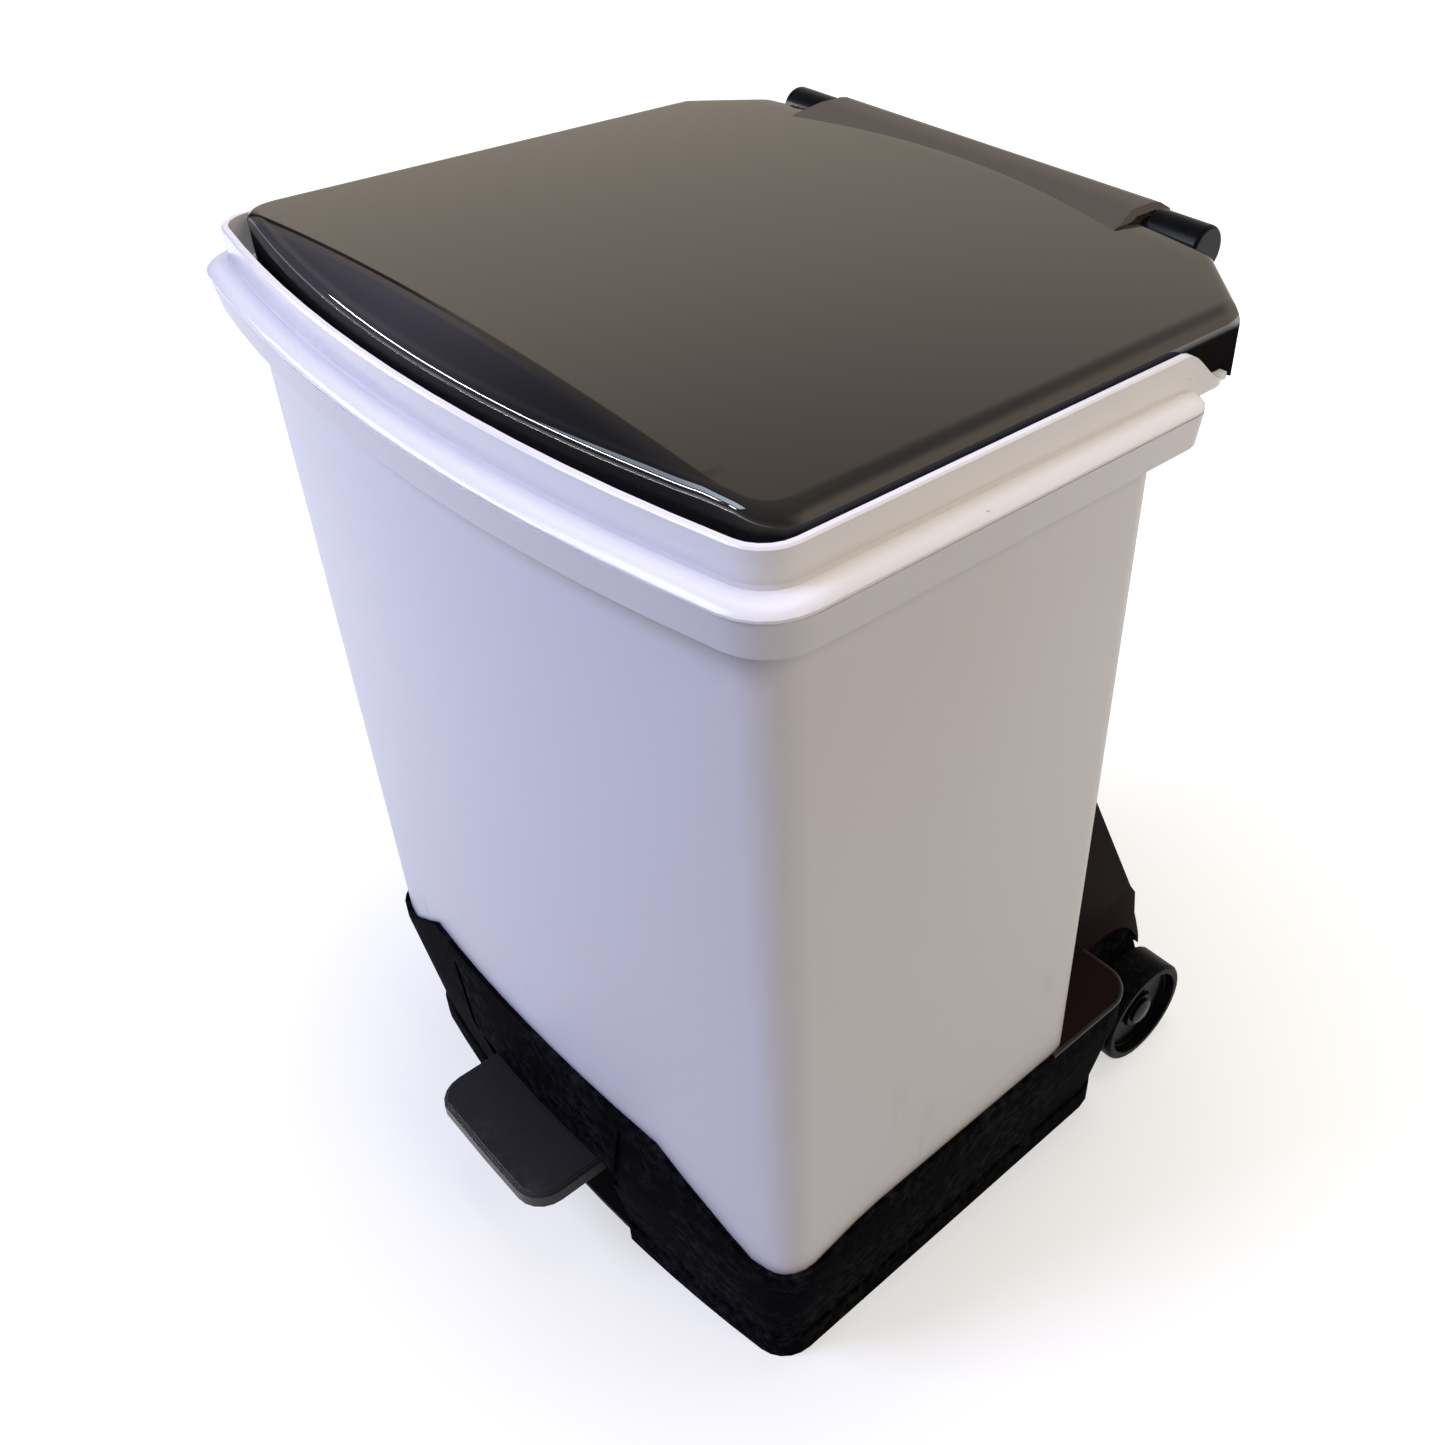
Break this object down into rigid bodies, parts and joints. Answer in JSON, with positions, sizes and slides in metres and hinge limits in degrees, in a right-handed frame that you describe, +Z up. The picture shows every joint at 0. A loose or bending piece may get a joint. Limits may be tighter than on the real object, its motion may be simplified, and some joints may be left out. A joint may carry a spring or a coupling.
{
  "type": "pedal bin",
  "caption": "Wheeled pedal bin with a white tapered bucket, loose bag ring, dark hinged lid, black base and a foot pedal that lifts the lid.",
  "frame": {"origin": "on the floor, under the middle of the bin's width, at the flat underside of the underplate", "axes": "+Z up, -Y towards the bowed front and the pedal, +X towards the side on the right of somebody who looks at the front from -Y"},
  "size_m": [0.3826, 0.3892, 0.5152],
  "materials": {
    "bucket_white": "moulded white plastic, fine satin",
    "ring_white": "glossy white plastic",
    "lid_dark": "very glossy dark warm grey plastic",
    "black_plastic": "matt black plastic",
    "pedal_black": "satin black plastic, worn lighter at the front edge",
    "gloss_black": "glossy black plastic",
    "steel": "zinc plated steel",
    "rubber": "soft black rubber"
  },
  "bodies": {
    "bin_frame": {"bin_body": "bucket_white", "bag_ring": "ring_white", "hinge_shaft": "steel", "hinge_cap_left": "gloss_black", "hinge_cap_right": "gloss_black", "hinge_bracket_left": "black_plastic", "hinge_bracket_right": "black_plastic", "rear_spine": "black_plastic", "rear_housing": "black_plastic", "base": "black_plastic", "underplate": "black_plastic", "pedal_shaft": "steel", "pedal_bearing_left": "black_plastic", "pedal_bearing_right": "black_plastic", "lever_stop": "rubber", "rod_guide_lower": "black_plastic", "rod_guide_upper": "black_plastic", "wheel_axle": "steel", "axle_cap_left": "gloss_black", "axle_cap_right": "gloss_black", "bracket_screw_1": "steel", "bracket_screw_2": "steel", "bracket_screw_3": "steel", "bracket_screw_4": "steel", "bearing_screw_1": "steel", "bearing_screw_2": "steel", "bearing_screw_3": "steel", "bearing_screw_4": "steel", "underplate_screw_1": "steel", "underplate_screw_2": "steel", "underplate_screw_3": "steel", "underplate_screw_4": "steel"},
    "lid_body": {"lid": "lid_dark", "lid_crank": "steel"},
    "pedal_body": {"pedal": "pedal_black", "pedal_lever": "steel", "pedal_screw_1": "steel", "pedal_screw_2": "steel"},
    "rod_body": {"push_rod": "steel", "push_pad": "black_plastic"},
    "wheel_left_body": {"wheel_left": "gloss_black"},
    "wheel_right_body": {"wheel_right": "gloss_black"}
  },
  "joints": [
    {"name": "lid_hinge", "type": "hinge", "parent": "bin_frame", "child": "lid_body", "pos_m": [0, 0.1474, 0.5035], "axis": [-1, 0, 0], "range_deg": [0, 80]},
    {"name": "pedal_hinge", "type": "hinge", "parent": "bin_frame", "child": "pedal_body", "pos_m": [0, -0.035, 0.048], "axis": [1, 0, 0], "range_deg": [0, 13]},
    {"name": "rod_slide", "type": "slide", "parent": "bin_frame", "child": "rod_body", "axis": [0, 0, 1], "range_m": [0, 0.0363]},
    {"name": "wheel_left_spin", "type": "hinge", "parent": "bin_frame", "child": "wheel_left_body", "pos_m": [-0.15215, 0.1587, 0.0348], "axis": [1, 0, 0], "continuous": true},
    {"name": "wheel_right_spin", "type": "hinge", "parent": "bin_frame", "child": "wheel_right_body", "pos_m": [0.15215, 0.1587, 0.0348], "axis": [1, 0, 0], "continuous": true}
  ],
  "couplings": [
    {"joint": "pedal_hinge", "follows": "lid_hinge", "ratio": 0.1624},
    {"joint": "rod_slide", "follows": "lid_hinge", "m_per_rad": 0.02593}
  ]
}
